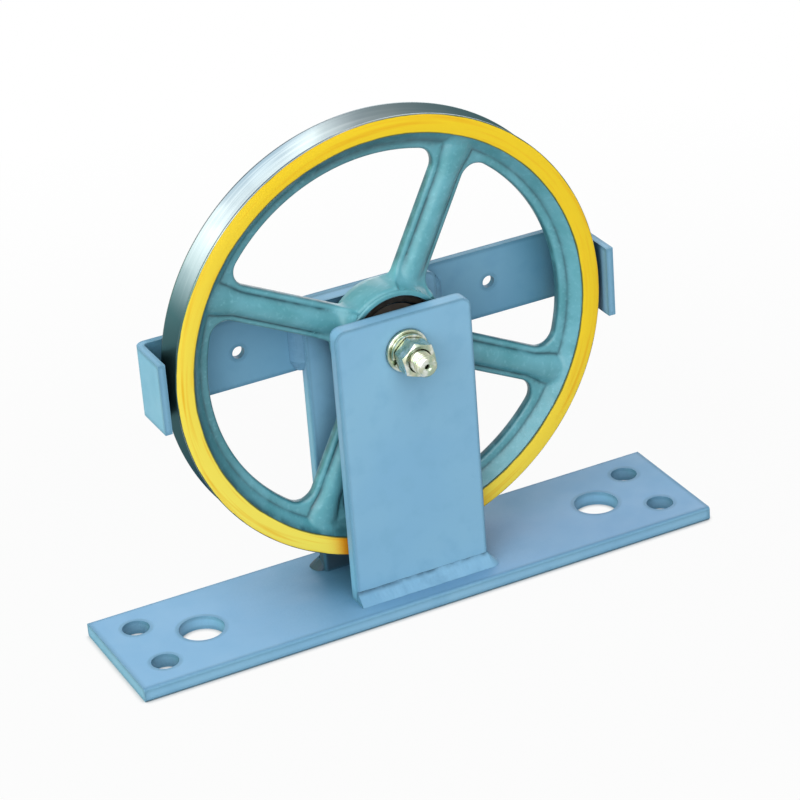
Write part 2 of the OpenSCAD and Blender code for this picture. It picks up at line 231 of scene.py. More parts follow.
def faces_up(tree):
    """Socket that is 1 on faces that look up."""
    normal = add_node(tree, "NewGeometry").outputs["Normal"]
    upward = add_node(tree, "SeparateXYZ", links={0: normal}).outputs["Z"]
    return ranged(tree, upward, 0.5, 0.9)


def base_shade(tree, point):
    """Share of the painted shade on upward faces: near what stands on them, where shade falls, and towards
    the right, where less light reaches.
    """
    close = crevice(tree, 62, 0.95, 0.42)
    place_x = add_node(tree, "SeparateXYZ", links={0: point}).outputs["X"]
    right = ranged(tree, place_x, 0.5 * bar_half_w * MM, 2 * bar_half_w * MM, 0, 0.26)
    shade_near_and_right = add_node(tree, "Math", {"operation": "MAXIMUM"}, {0: close, 1: right}).outputs[0]
    return add_node(tree, "Math", {"operation": "MULTIPLY"}, {0: faces_up(tree), 1: shade_near_and_right}).outputs[0]


def foot_corner_shade(tree, point):
    """Share of the painted shade, nearly black, around the inner left corner of the rear upright's foot,
    under the sheave.
    """
    corner = (-bar_half_w * MM, (upright_y - bar_thick) * MM, base_top * MM)
    away = add_node(tree, "VectorMath", {"operation": "DISTANCE", 1: corner}, {0: point}).outputs["Value"]
    uneven = ranged(tree, mottle(tree, point, 9, 3), 0, 1, -6 * MM, 6 * MM)
    level = add_node(tree, "Math", {"operation": "ADD"}, {0: away, 1: uneven}).outputs[0]
    return ranged(tree, level, 26 * MM, 15 * MM, 0, 0.9)


def thin_edges(tree, width, share):
    """Socket that rises to share on edges. The Bevel node's weight is all near the edge, so the
    line looks about a quarter of width millimetres wide."""
    softened = add_node(tree, "Bevel", {"samples": 4, "Radius": width * MM}).outputs[0]
    flat = add_node(tree, "NewGeometry").outputs["True Normal"]
    agreed = add_node(tree, "VectorMath", {"operation": "DOT_PRODUCT"}, {0: softened, 1: flat})
    return ranged(tree, agreed.outputs["Value"], 0.999, 0.965, 0, share)


def sprayed_enamel(name, body_colours, patch_colour, grain_depth, edge_w, shade_mask=None, shade_mask_colour=None,
                   top_colour=None):
    """Satin machine enamel sprayed on steel: an even coat with soft cloudy shifts of blue, a
    fine orange peel that breaks up the shine, darker where it thins within edge_w of a sharp
    edge, and painted shade in corners and narrow gaps. A further colour, with the function that
    gives its share, adds more painted shade when given. top_colour is for a piece that lies on
    the floor: its upward faces get a painted tone, darker and more violet, for the light on top."""
    settings = {"IOR": 1.5, "Specular IOR Level": 0.3}
    material, tree, shader = new_material(name, settings)
    point = add_node(tree, "TexCoord").outputs["Object"]
    clouds = ranged(tree, mottle(tree, point, 60), 0.35, 0.65)
    patches = ranged(tree, mottle(tree, point, 12, 4), 0.5, 0.8)
    body = mixed(tree, clouds, *body_colours)
    coat = mixed(tree, patches, body, patch_colour)
    # Painted tone for the light that falls on the upward faces.
    if top_colour:
        coat = mixed(tree, ranged(tree, faces_up(tree), 0, 1, 0, 0.7), coat, top_colour)
    # Painted shade from the given function and colour.
    if shade_mask:
        coat = mixed(tree, shade_mask(tree, point), coat, shade_mask_colour)
    coat = mixed(tree, thin_edges(tree, edge_w, 0.65), coat, "#3A6B84")
    # Painted shade in corners and narrow gaps.
    corner_shade = crevice(tree, 20, 0.74, 0.2, own=bool(top_colour))
    line = add_node(tree, "Attribute", {"attribute_name": "crease"}).outputs["Fac"]
    broken = ranged(tree, mottle(tree, point, 8, 3), 0.35, 0.6, 0.1, 0.9)
    line = add_node(tree, "Math", {"operation": "MULTIPLY"}, {0: line, 1: broken}).outputs[0]
    dark = add_node(tree, "Math", {"operation": "MAXIMUM"}, {0: corner_shade, 1: line}).outputs[0]
    tree.links.new(mixed(tree, dark, coat, "#1C4054"), shader.inputs["Base Color"])
    rough = ranged(tree, mottle(tree, point, 14), 0.3, 0.7, 0.42, 0.55)
    tree.links.new(rough, shader.inputs["Roughness"])
    # Real orange peel is about 1 mm wide. It is drawn at 1.6 mm so that it shows.
    raised(tree, shader, mottle(tree, point, 1.6, 1), grain_depth)
    return material


def towards(tree, point, degrees, start, end):
    """Socket that rises from 0 to 1 towards one side of the sheave, by the cosine of the turn."""
    turn = math.radians(degrees)
    side = (math.cos(turn) / (sheave_r * MM), 0, math.sin(turn) / (sheave_r * MM))
    moved = add_node(tree, "VectorMath", {"operation": "SUBTRACT", 1: (0, 0, axle_z * MM)}, {0: point})
    share = add_node(tree, "VectorMath", {"operation": "DOT_PRODUCT", 1: side}, {0: moved.outputs[0]})
    return ranged(tree, share.outputs["Value"], start, end)


def brushed_enamel():
    """Teal enamel brushed over an as-cast iron skin: the lumpy skin shows through the paint,
    which thins to a lighter blue on lumps. Painted shade darkens narrow corners and the inside
    of the rim on the left and at the top, and the crease attribute adds dark lines."""
    settings = {"IOR": 1.5, "Specular IOR Level": 0.5}
    material, tree, shader = new_material("brushed_teal_enamel_on_cast_iron", settings)
    point = add_node(tree, "TexCoord").outputs["Object"]
    clouds = ranged(tree, mottle(tree, point, 20, 3, 0.6), 0.35, 0.65)
    grain = mottle(tree, point, 2.4, 3)
    body = mixed(tree, clouds, "#4C8F9B", "#5F9FAE")
    # Painted shade on the inside of the rim, on the left and at the top.
    left = towards(tree, point, 178, 0.6, 0.85)
    upper = towards(tree, point, 105, 0.68, 0.84)
    rim_shade = add_node(tree, "Math", {"operation": "MAXIMUM"}, {0: left, 1: upper}).outputs[0]
    body = mixed(tree, ranged(tree, rim_shade, 0, 1, 0, 0.5), body, "#396B75")
    thin = mixed(tree, ranged(tree, grain, 0.55, 0.85, 0, 0.5), body, "#7DB9C9")
    # Painted shade in narrow corners.
    shade_weight = crevice(tree, 5, 0.93, 0.5)
    line = add_node(tree, "Attribute", {"attribute_name": "crease"}).outputs["Fac"]
    broken = ranged(tree, mottle(tree, point, 9, 2), 0.3, 0.55, 0.5, 1)
    line = add_node(tree, "Math", {"operation": "MULTIPLY"}, {0: line, 1: broken}).outputs[0]
    dark = add_node(tree, "Math", {"operation": "MAXIMUM"}, {0: shade_weight, 1: line}).outputs[0]
    tree.links.new(mixed(tree, dark, thin, "#194853"), shader.inputs["Base Color"])
    rough = ranged(tree, mottle(tree, point, 6), 0.3, 0.7, 0.3, 0.42)
    tree.links.new(rough, shader.inputs["Roughness"])
    lumps = mottle(tree, point, 7, 1)
    skin = add_node(tree, "Math", {"operation": "MULTIPLY_ADD", 1: 2.0}, {0: lumps, 2: grain})
    raised(tree, shader, skin.outputs[0], 0.09)
    return material


def streaks_around(tree, point, radius, width, length):
    """Socket with streaks that run around the axle, sized in millimetres."""
    squeezed = add_node(tree, "VectorMath", {"operation": "SCALE", "Scale": width / length}, {0: point})
    parts = add_node(tree, "SeparateXYZ", links={0: squeezed.outputs[0]})
    links = {"X": radius, "Y": parts.outputs["X"], "Z": parts.outputs["Z"]}
    return mottle(tree, add_node(tree, "CombineXYZ", links=links).outputs[0], width, 2)


def flange_enamel():
    """Safety yellow enamel painted by hand on the turned flange: a thick even coat with
    warmer brush streaks around the rim, paler towards the lower left, painted orange shade
    where other parts stand close, and thin dark lines where it meets teal and bare iron."""
    settings = {"IOR": 1.5, "Specular IOR Level": 0.2}
    material, tree, shader = new_material("hand_painted_yellow_enamel_on_cast_iron", settings)
    point = add_node(tree, "TexCoord").outputs["Object"]
    radius = radius_socket(tree, point)
    wobble = ranged(tree, mottle(tree, point, 12), 0, 1, -0.5 * MM, 0.5 * MM)
    uneven = add_node(tree, "Math", {"operation": "ADD"}, {0: radius, 1: wobble}).outputs[0]
    paler_lower_left = towards(tree, point, 235, -0.4, 0.9)
    body = mixed(tree, paler_lower_left, "#EAC826", "#ECDB58")
    streaks = ranged(tree, streaks_around(tree, point, radius, 2.2, 60), 0.5, 0.72, 0, 0.8)
    coat = mixed(tree, streaks, body, "#E4AE1C")
    # Painted orange shade where other parts stand close to the flange.
    coat = mixed(tree, crevice(tree, 25, 0.8, 0.45), coat, "#E08A12")
    inner_seam = ranged(tree, uneven, (flange_inner_r + 0.9) * MM, (flange_inner_r + 0.3) * MM)
    outer_seam = ranged(tree, uneven, (sheave_r - 0.6) * MM, (sheave_r - 0.3) * MM)
    seam = add_node(tree, "Math", {"operation": "MAXIMUM"}, {0: inner_seam, 1: outer_seam}).outputs[0]
    tree.links.new(mixed(tree, seam, coat, "#5A6230"), shader.inputs["Base Color"])
    rough = ranged(tree, mottle(tree, point, 10), 0.3, 0.7, 0.32, 0.44)
    tree.links.new(rough, shader.inputs["Roughness"])
    raised(tree, shader, mottle(tree, point, 5, 2), 0.06)
    return material


def turned_iron():
    """Bare cast iron turned on a lathe and worn by the rope: a smooth grey metal with very
    fine rings around the axle. A painted darker, bluer patch dims the lamp's reflection near
    the top left, and a painted green-grey dark reflection darkens two sides of the rim."""
    material, tree, shader = new_material("bare_turned_cast_iron", {"Metallic": 1})
    point = add_node(tree, "TexCoord").outputs["Object"]
    radius = radius_socket(tree, point)
    # Real tool marks are 0.2 mm apart. They are drawn 0.7 mm apart so that they show.
    rings = streaks_around(tree, point, radius, 0.7, 60)
    drift = ranged(tree, mottle(tree, point, 40, 2), 0.4, 0.6)
    metal_tone = mixed(tree, drift, "#8F999B", "#788388")
    # Painted darker, bluer patch that dims the lamp's reflection near the top left.
    metal_tone = mixed(tree, towards(tree, point, 117, 0.95, 0.995), metal_tone, "#63737D")
    marked = mixed(tree, ranged(tree, rings, 0.45, 0.8, 0, 0.4), metal_tone, "#A6AEB0")
    # Painted dark reflection on two sides of the rim.
    left_dark_reflection = towards(tree, point, 205, 0.38, 0.7)
    right_dark_reflection = towards(tree, point, 45, 0.62, 1)
    film_and_dark_reflection = add_node(tree, "Math", {"operation": "MAXIMUM"}, {0: left_dark_reflection, 1: right_dark_reflection}).outputs[0]
    tree.links.new(mixed(tree, film_and_dark_reflection, marked, "#3B595C"), shader.inputs["Base Color"])
    tree.links.new(ranged(tree, drift, 0, 1, 0.28, 0.36), shader.inputs["Roughness"])
    raised(tree, shader, rings, 0.006)
    return material


def passivated_zinc():
    """Zinc plating with a yellow chromate film: bright metal that drifts between olive, straw
    and gold within a few millimetres, with bright patches here and there."""
    material, tree, shader = new_material("yellow_passivated_zinc_on_steel", {"Metallic": 1})
    point = add_node(tree, "TexCoord").outputs["Object"]
    drift = ranged(tree, mottle(tree, point, 7, 2, 0.8), 0.4, 0.6)
    second_drift = ranged(tree, mottle(tree, point, 5, 2), 0.5, 0.7)
    film_and_dark_reflection = mixed(tree, drift, "#9FB09A", "#C2C6AC")
    bright = mixed(tree, second_drift, film_and_dark_reflection, "#E6EAE6")
    # Painted shade in the corners and gaps of the fasteners.
    zinc_corner_shade = crevice(tree, 2.5, 0.75, 0.3)
    tree.links.new(mixed(tree, zinc_corner_shade, bright, "#55583E"), shader.inputs["Base Color"])
    rough = ranged(tree, mottle(tree, point, 3), 0.3, 0.7, 0.22, 0.36)
    tree.links.new(rough, shader.inputs["Roughness"])
    raised(tree, shader, mottle(tree, point, 1.2, 2), 0.015)
    return material


def plain_finish(name, metallic, colours, rough, grain, depth):
    """Finish of an inner piece: two close colours, uneven shine and a fine grain."""
    settings = {"Metallic": 1} if metallic else {"IOR": 1.5}
    material, tree, shader = new_material(name, settings)
    point = add_node(tree, "TexCoord").outputs["Object"]
    drift = ranged(tree, mottle(tree, point, 6 * grain), 0.35, 0.65)
    tree.links.new(mixed(tree, drift, *colours), shader.inputs["Base Color"])
    tree.links.new(ranged(tree, drift, 0, 1, *rough), shader.inputs["Roughness"])
    raised(tree, shader, mottle(tree, point, grain, 2), depth)
    return material


blue_coat = {"body_colours": ("#7CADCE", "#83B3D0"), "patch_colour": "#78A9C9", "grain_depth": 0.03}
weld_coat = {"body_colours": ("#6897B8", "#76A4C2"), "patch_colour": "#5F8BA9", "grain_depth": 0.09}
# Painted shade, nearly black, around the inner left corner of the rear upright's foot.
foot_shade = {"shade_mask": foot_corner_shade, "shade_mask_colour": "#1E262B"}
# The front upright has the plain coat.
blue_enamel = sprayed_enamel("sprayed_blue_enamel_on_steel", **blue_coat, edge_w=2.5)
# The rear upright has the same coat, with painted shade, nearly black, around the inner left corner of its
# foot.
foot_shaded_enamel = sprayed_enamel("blue_enamel_with_painted_foot_shade", **blue_coat, edge_w=2.5, **foot_shade)
# The base plate has the same coat, with a painted darker, more violet tone on top and painted shade around
# the uprights and towards the right.
base_enamel = sprayed_enamel("blue_enamel_with_painted_base_shade", **blue_coat, edge_w=4, shade_mask=base_shade,
                             shade_mask_colour="#4A7696", top_colour="#7AA3CC")
# The guard strip has the blue coat, with painted shade on its flat behind the sheave.
guard_enamel = sprayed_enamel("blue_enamel_with_painted_shade_behind_sheave", **blue_coat, edge_w=4, shade_mask=shade_behind_sheave,
                              shade_mask_colour="#2F7290")
# Over a weld the same coat lies on a rough, sooty bead: it looks darker and a little uneven.
weld_enamel = sprayed_enamel("sprayed_blue_enamel_over_weld", **weld_coat, edge_w=0.5)
# The rear foot weld has the painted shade of the upright's foot at its left end.
foot_shaded_weld = sprayed_enamel("blue_enamel_over_weld_with_painted_foot_shade", **weld_coat, edge_w=0.5, **foot_shade)
teal_enamel = brushed_enamel()
yellow_enamel = flange_enamel()
bare_iron = turned_iron()
zinc = passivated_zinc()
# Turned mild steel: bright, with a fine even tool grain.
turned_steel = plain_finish("turned_mild_steel", True, ("#A8ADB0", "#B9BDBF"), (0.25, 0.35), 0.8, 0.02)
# Through hardened bearing steel, ground and polished: an almost mirror-bright surface.
bearing_steel = plain_finish("ground_bearing_steel", True, ("#BFC3C6", "#CBCED0"), (0.12, 0.2), 0.8, 0.005)
# Glass filled polyamide, moulded: a warm white plastic with a faint flow grain.
polyamide = plain_finish("moulded_polyamide", False, ("#CFC09A", "#D8CBA8"), (0.45, 0.55), 1.2, 0.02)
# Nitrile rubber, moulded on a steel disc: a dull skin, brown-black with dust.
nitrile = plain_finish("moulded_nitrile_rubber", False, ("#2A2521", "#3B342D"), (0.55, 0.7), 1.0, 0.03)
# Spring steel, phosphated and oiled: a dark grey crystalline film with a weak shine.
phosphate = plain_finish("phosphated_spring_steel", True, ("#2A2724", "#3A3632"), (0.5, 0.65), 0.9, 0.02)


# Mesh helpers
def add_piece(name, body, replaced, verts, faces, materials, zone=None, sharp=38, mark=None):
    """Adds a mesh given in millimetres. zone picks a material for the middle of a face, and
    mark gives each point its share of the dark crease lines. Edges over sharp degrees stay sharp."""
    work = bmesh.new()
    made = [work.verts.new(Vector(v) * MM) for v in verts]
    for face in faces:
        work.faces.new([made[i] for i in face])
    bmesh.ops.remove_doubles(work, verts=work.verts, dist=0.002 * MM)
    bmesh.ops.dissolve_degenerate(work, edges=work.edges, dist=0.002 * MM)
    bmesh.ops.recalc_face_normals(work, faces=work.faces)
    for face in work.faces:
        face.smooth = True
        if zone:
            face.material_index = zone(face.calc_center_median() / MM)
    mesh = bpy.data.meshes.new(name)
    work.to_mesh(mesh)
    work.free()
    for material in materials:
        mesh.materials.append(material)
    mesh.set_sharp_from_angle(angle=math.radians(sharp))
    if mark:
        spots = np.empty(3 * len(mesh.vertices))
        mesh.vertices.foreach_get("co", spots)
        shares = mesh.attributes.new("crease", "FLOAT", "POINT")
        shares.data.foreach_set("value", mark(spots.reshape(-1, 3) / MM))
    piece = bpy.data.objects.new(name, mesh)
    scene.collection.objects.link(piece)
    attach(piece, body)
    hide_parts(replaced)
    return piece


def rounded(corners, steps=4):
    """Closed profile with each corner (a, b, radius) turned into an arc."""
    points = []
    count = len(corners)
    for i, (a, b, radius) in enumerate(corners):
        here = Vector((a, b))
        if radius == 0:
            points.append(here)
            continue
        back = (Vector(corners[i - 1][:2]) - here).normalized()
        ahead = (Vector(corners[(i + 1) % count][:2]) - here).normalized()
        half = back.angle(ahead) / 2
        middle = here + (back + ahead).normalized() * radius / math.sin(half)
        start = here + back * radius / math.tan(half) - middle
        end = here + ahead * radius / math.tan(half) - middle
        for step in range(steps + 1):
            points.append(middle + radius * start.slerp(end, step / steps).normalized())
    return points


def on_axle(radius, y, angle):
    """Point at a radius and angle around the axle."""
    return radius * math.cos(angle), y, axle_z + radius * math.sin(angle)


def ring_faces(rows, columns, closed_rows=True):
    """Quads of a grid of points stored row by row. Each row is a closed ring."""
    faces = []
    for i in range(rows if closed_rows else rows - 1):
        for j in range(columns):
            k, m = (i + 1) % rows, (j + 1) % columns
            faces.append((i * columns + j, i * columns + m, k * columns + m, k * columns + j))
    return faces


def turned(profile, steps):
    """Verts and faces of a closed profile of (radius, y) turned around the axle."""
    verts = [on_axle(r, y, 2 * math.pi * j / steps) for r, y in profile for j in range(steps)]
    return verts, ring_faces(len(profile), steps)


# Sheave: turned rim, cast spokes and hub
def smooth_step(low, high, value):
    """Share that goes smoothly from 0 at low to 1 at high."""
    share = np.clip((value - low) / (high - low), 0, 1)
    return share * share * (3 - 2 * share)


def smooth_max(first, second, blend):
    """Larger of two heights, with a fillet of about the blend height between them."""
    near = np.maximum(blend - np.abs(first - second), 0)
    return np.maximum(first, second) + near * near / (4 * blend)


def from_spoke(x, z):
    """Distance from the axle and from the middle line of the nearest spoke."""
    radius = np.hypot(x, z)
    turn = (np.arctan2(z, x) - spoke_angle + spoke_step / 2) % spoke_step - spoke_step / 2
    return radius, np.abs(radius * np.sin(turn))


def rib_foot(radius):
    """Half width of a rib at its foot."""
    return rib_foot_half + rib_flare * smooth_step(rib_flare_start, ridge_foot_r, radius)


def casting_height(x, z, side):
    """Thickness of the casting from its middle plane to the front (side -1) or rear (side 1)."""
    radius, across = from_spoke(x, z)
    rib = (rib_half - web_half) * np.maximum(1 - (across / rib_foot(radius)) ** 2.4, 0) ** 0.75
    spoke = web_half + rib - 0.5 * np.maximum(across - spoke_half, 0)
    flat = web_half + ridge_draft * (radius - ridge_r) / (ridge_foot_r - ridge_r)
    cone_slope = (rim_half - flange_step - web_half - ridge_draft) / (flange_inner_r - ridge_foot_r)
    cone = web_half + ridge_draft + (radius - ridge_foot_r) * cone_slope
    rim = np.minimum(smooth_max(flat, cone, 0.4), rim_half - flange_step)
    reach = front_root_reach if side < 0 else rear_root_reach
    rise = front_root_rise if side < 0 else rear_root_rise
    fillet = np.clip((hub_face_r + 0.5 + reach - radius) / reach, 0, 1)
    root = web_half + rise * (1 - np.sqrt(1 - fillet ** 2))
    return smooth_max(smooth_max(spoke, rim, 1.5), root, 2.5)


def arc(middle, radius, start, end, spacing):
    """Points along an arc, both ends included."""
    count = max(3, round(abs(end - start) * radius / spacing))
    angles = [start + (end - start) * i / count for i in range(count + 1)]
    return [(middle[0] + radius * math.cos(a), middle[1] + radius * math.sin(a)) for a in angles]


def window_outline(spacing):
    """Opening between the first spoke along +X and the next one, as a closed loop."""
    half_step = math.pi / spoke_count
    rim_y = spoke_half + rim_fillet_r
    rim_x = math.sqrt((ridge_r - rim_fillet_r) ** 2 - rim_y ** 2)
    hub_y = spoke_half + hub_fillet_r
    hub_x = math.sqrt((hub_mid_r + hub_fillet_r) ** 2 - hub_y ** 2)
    rim_turn = math.atan2(rim_y, rim_x)
    hub_turn = math.atan2(hub_y, hub_x)
    edge_count = round((rim_x - hub_x) / spacing)
    half = arc((0, 0), hub_mid_r, half_step, hub_turn, spacing)
    half += arc((hub_x, hub_y), hub_fillet_r, hub_turn - math.pi, -math.pi / 2, spacing / 2)[1:]
    half += [(hub_x + (rim_x - hub_x) * i / edge_count, spoke_half) for i in range(1, edge_count)]
    half += arc((rim_x, rim_y), rim_fillet_r, -math.pi / 2, rim_turn, spacing / 2)
    half += arc((0, 0), ridge_r, rim_turn, half_step, spacing)[1:]
    mirrored = []
    for x, y in half[-2:0:-1]:
        radius, turn = math.hypot(x, y), 2 * half_step - math.atan2(y, x)
        mirrored.append((radius * math.cos(turn), radius * math.sin(turn)))
    return np.array(half + mirrored)


def turned_points(points, angle):
    """Points turned around the axle."""
    c, s = math.cos(angle), math.sin(angle)
    return points @ np.array([[c, s], [-s, c]])


def into_metal(loop):
    """Unit normals of a loop that runs anticlockwise, pointing away from its inside."""
    along = np.roll(loop, -1, 0) - np.roll(loop, 1, 0)
    along /= np.linalg.norm(along, axis=1)[:, None]
    return np.stack([along[:, 1], -along[:, 0]], 1)


def inside_loop(points, loop):
    """True for the points inside a closed loop."""
    found = np.zeros(len(points), bool)
    for (x0, y0), (x1, y1) in zip(loop, np.roll(loop, -1, 0)):
        crosses = (points[:, 1] < y0) != (points[:, 1] < y1)
        meet = x0 + (points[:, 1] - y0) * (x1 - x0) / (y1 - y0 if y1 != y0 else 1)
        found ^= crosses & (points[:, 0] < meet)
    return found


def clearance(points, loop):
    """Distance of each point from the nearest point of a loop."""
    gaps = np.full(len(points), np.inf)
    for corner in loop:
        gaps = np.minimum(gaps, np.hypot(points[:, 0] - corner[0], points[:, 1] - corner[1]))
    return gaps


def circle(radius, count):
    """Points of a circle around the axle."""
    turns = 2 * math.pi * np.arange(count) / count
    return np.stack([np.cos(turns), np.sin(turns)], 1) * radius


def rib_foot_lines():
    """Rows of points along both feet of every rib, so that the crease there is crisp."""
    along = np.arange(hub_mid_r + front_root_reach, ridge_foot_r - casting_grid, casting_grid)
    foot = rib_foot(np.hypot(along, rib_foot(along)))
    lines = []
    for i in range(spoke_count):
        for share in (-1, -0.85, 0.85, 1):
            line = np.stack([along, share * foot], 1)
            lines.append(turned_points(line, spoke_angle + i * spoke_step))
    return lines


def crease_share(points, windows):
    """Share of the dark lines: painted shade in the creases at the rib feet and the foot of the
    rim, dark lines on the walls of the windows, and painted shade at the foot of the flange on the left."""
    plane = points[:, [0, 2]] - (0, axle_z)
    radius, across = from_spoke(plane[:, 0], plane[:, 1])
    on_rib = across - rib_foot(radius)
    foot_gap = np.where(radius < ridge_foot_r, np.abs(on_rib), ridge_r)
    ridge_gap = np.abs(radius - ridge_foot_r) + np.maximum(-on_rib, 0)
    lines = np.exp(-(foot_gap / crease_half) ** 2)
    lines = np.maximum(lines, 0.75 * np.exp(-(ridge_gap / crease_half) ** 2))
    # Painted shade at the foot of the flange, on the left side.
    shade_weight = smooth_step(-0.3, 0.5, -plane[:, 0] / radius)
    lines = np.maximum(lines, shade_weight * np.exp(-((radius - flange_inner_r) / (2.5 * crease_half)) ** 2))
    for window in windows:
        lines = np.maximum(lines, 0.8 * smooth_step(window_edge_r / 2, 0, clearance(plane, window)))
    return lines * smooth_step(hub_mid_r + hub_fillet_r / 2, hub_mid_r + front_root_reach, radius)


def casting_face(loops, holes, lines):
    """Triangles of one face of the casting. The first loop bounds it and holes stay open.
    Returns the points, the triangles and where the points of each loop went."""
    axis = np.arange(-casting_outer_r, casting_outer_r, casting_grid)
    grid = np.stack(np.meshgrid(axis, axis * math.sqrt(0.75)), 2)
    grid[1::2, :, 0] += casting_grid / 2
    grid = grid.reshape(-1, 2)
    keep = inside_loop(grid, loops[0])
    for hole in holes:
        keep &= ~inside_loop(grid, hole)
    for path in loops + lines:
        keep[keep] = clearance(grid[keep], path) > casting_grid / 2
    edges = []
    starts = np.cumsum([0] + [len(path) for path in loops + lines])
    for number, (start, path) in enumerate(zip(starts, loops + lines)):
        count = len(path)
        last = count if number < len(loops) else count - 1
        edges += [(int(start + i), int(start + (i + 1) % count)) for i in range(last)]
    flat = np.concatenate(loops + lines + [grid[keep]])
    result = delaunay_2d_cdt([Vector(p) for p in flat], edges, [], 0, 1e-5)
    points = np.array([tuple(p) for p in result[0]])
    place = {old: new for new, olds in enumerate(result[3]) for old in olds}
    triangles = np.array([tuple(f) for f in result[2]])
    middles = points[triangles].mean(1)
    solid = inside_loop(middles, loops[0])
    for hole in holes:
        solid &= ~inside_loop(middles, hole)
    rings = [[place[int(start + i)] for i in range(len(loop))] for start, loop in zip(starts, loops)]
    return points, triangles[solid], rings


def sheave_casting():
    """Spokes and the inside of the rim as one skin with rounded window edges."""
    window = window_outline(casting_grid)
    windows = [turned_points(window, spoke_angle + i * spoke_step) for i in range(spoke_count)]
    edges = [loop + into_metal(loop) * window_edge_r for loop in windows]
    outer, inner = circle(casting_outer_r, 420), circle(hub_inner_r, 140)
    loops = [outer, inner] + edges + [circle(ridge_foot_r, 420)]
    points, triangles, rings = casting_face(loops, [inner] + edges, rib_foot_lines())
    count = len(points)
    verts = []
    for side in (-1, 1):
        height = casting_height(points[:, 0], points[:, 1], side)
        verts += [(x, side * h, axle_z + z) for (x, z), h in zip(points, height)]
    faces = [tuple(int(i) for i in t) for t in triangles]
    faces += [tuple(int(i) + count for i in t[::-1]) for t in triangles]
    for ring in rings[:2]:
        faces += [(a, b, b + count, a + count) for a, b in zip(ring, ring[1:] + ring[:1])]
    turns = [math.pi / 2 * i / 4 for i in range(1, 5)]
    levels = [(-1, turn) for turn in turns] + [(1, turn) for turn in turns[::-1]]
    for loop, edge, front in zip(windows, edges, rings[2:]):
        rows = [front]
        for side, turn in levels:
            tops = casting_height(edge[:, 0], edge[:, 1], side)
            wall = edge + (loop - edge) * math.sin(turn)
            level_y = side * (tops - window_edge_r * (1 - math.cos(turn)))
            rows.append(range(len(verts), len(verts) + len(wall)))
            verts += [(x, y, axle_z + z) for (x, z), y in zip(wall, level_y)]
        rows.append([i + count for i in front])
        for upper, lower in zip(rows, rows[1:]):
            for i in range(len(upper)):
                k = (i + 1) % len(upper)
                faces.append((upper[i], upper[k], lower[k], lower[i]))
    return add_piece("sheave_spokes", "sheave", "sheave", verts, faces,
                     [teal_enamel], mark=lambda points: crease_share(points, windows))


def sheave_hub():
    """Hub with the bearing's seat and the grooves of both retaining rings."""
    mouth_r = hub_bore_r + hub_bore_chamfer
    front_groove_y = front_ring_low.y - ring_play
    rear_groove_y = rear_ring_high.y + ring_play
    sunk_r = hub_mid_r - 0.4
    outside = [(mouth_r, hub_front_y, 0.3), (hub_face_r, hub_front_y, 1.4), (sunk_r, -web_half, 0),
               (sunk_r, web_half, 0), (hub_rear_r, hub_rear_y, 1), (mouth_r, hub_rear_y, 0.2)]
    bore = [(hub_bore_r, hub_rear_y - hub_bore_chamfer), (hub_bore_r, rear_groove_y)]
    bore += [(ring_groove_r, rear_groove_y), (ring_groove_r, bearing_high.y), (hub_bore_r, bearing_high.y)]
    bore += [(hub_bore_r, bearing_low.y), (ring_groove_r, bearing_low.y), (ring_groove_r, front_groove_y)]
    bore += [(hub_bore_r, front_groove_y), (hub_bore_r, hub_front_y + hub_bore_chamfer)]
    verts, faces = turned(rounded(outside + [(r, y, 0) for r, y in bore]), 144)

    def zone(middle):
        return 1 if math.hypot(middle.x, middle.z - axle_z) < mouth_r + 0.2 else 0

    return add_piece("sheave_hub", "sheave", "sheave", verts, faces,
                     [teal_enamel, bare_iron], zone)


def sheave_rim():
    """Rim with a yellow flange on each face and the rope groove between them."""
    wall_r = rope_r - groove_r * math.sin(groove_wall)
    wall_y = groove_r * math.cos(groove_wall)
    mouth_y = wall_y + (sheave_r - wall_r) * math.tan(groove_wall)
    hidden_r = flange_inner_r - 1.5
    front = [(hidden_r, 4 - rim_half, 0), (flange_inner_r, 3 - rim_half, 0),
             (flange_inner_r, -rim_half, 0.4), (sheave_r, -rim_half, edge_r), (sheave_r, -mouth_y, 0.25)]
    rear = [(r, -y, e) for r, y, e in front[::-1]]
    groove = []
    count = 12
    for i in range(count + 1):
        turn = math.pi / 2 + groove_wall + (math.pi - 2 * groove_wall) * i / count
        groove.append((rope_r + groove_r * math.cos(turn), -groove_r * math.sin(turn), 0))
    verts, faces = turned(rounded(front + groove + rear), 288)

    def zone(middle):
        radius = math.hypot(middle.x, middle.z - axle_z)
        return 0 if abs(middle.y) > rim_half - edge_r / 2 and radius < sheave_r - edge_r / 2 else 1

    return add_piece("sheave_rim", "sheave", "sheave", verts, faces,
                     [yellow_enamel, bare_iron], zone)


sheave_casting()
sheave_hub()
sheave_rim()


